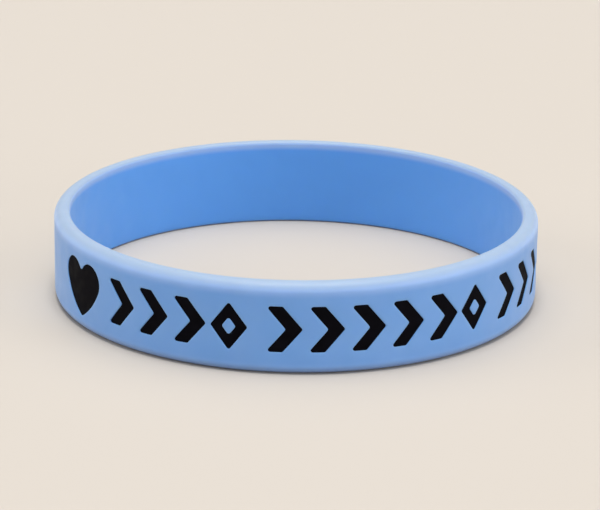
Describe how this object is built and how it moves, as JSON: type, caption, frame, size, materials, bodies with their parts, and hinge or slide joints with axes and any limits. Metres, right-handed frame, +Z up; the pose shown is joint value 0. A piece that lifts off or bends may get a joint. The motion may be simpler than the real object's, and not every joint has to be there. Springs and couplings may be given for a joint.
{
  "type": "bracelet",
  "caption": "Moulded silicone wristband, a closed ring with black ink-filled sunk hearts, chevrons and diamonds round its outer face, lying on its edge.",
  "frame": {"origin": "on the surface that the band rests on, under the middle of the ring", "axes": "+Z up along the ring's axis, -Y towards the front of the band, where the row of motifs after the first heart shows, +X to the right as seen from there"},
  "size_m": [0.0686, 0.0686, 0.0127],
  "materials": {
    "silicone": "light blue moulded silicone, satin",
    "ink": "black silicone ink, dull satin"
  },
  "bodies": {
    "root": {"band": "silicone", "ink_chevron_01": "ink", "ink_chevron_02": "ink", "ink_chevron_03": "ink", "ink_chevron_04": "ink", "ink_chevron_05": "ink", "ink_chevron_06": "ink", "ink_chevron_07": "ink", "ink_chevron_08": "ink", "ink_chevron_09": "ink", "ink_chevron_10": "ink", "ink_chevron_11": "ink", "ink_chevron_12": "ink", "ink_chevron_13": "ink", "ink_chevron_14": "ink", "ink_chevron_15": "ink", "ink_chevron_16": "ink", "ink_chevron_17": "ink", "ink_chevron_18": "ink", "ink_chevron_19": "ink", "ink_chevron_20": "ink", "ink_chevron_21": "ink", "ink_chevron_22": "ink", "ink_diamond_01": "ink", "ink_diamond_02": "ink", "ink_diamond_03": "ink", "ink_diamond_04": "ink", "ink_diamond_05": "ink", "ink_diamond_06": "ink", "ink_heart_01": "ink", "ink_heart_02": "ink", "ink_heart_03": "ink"}
  },
  "joints": []
}
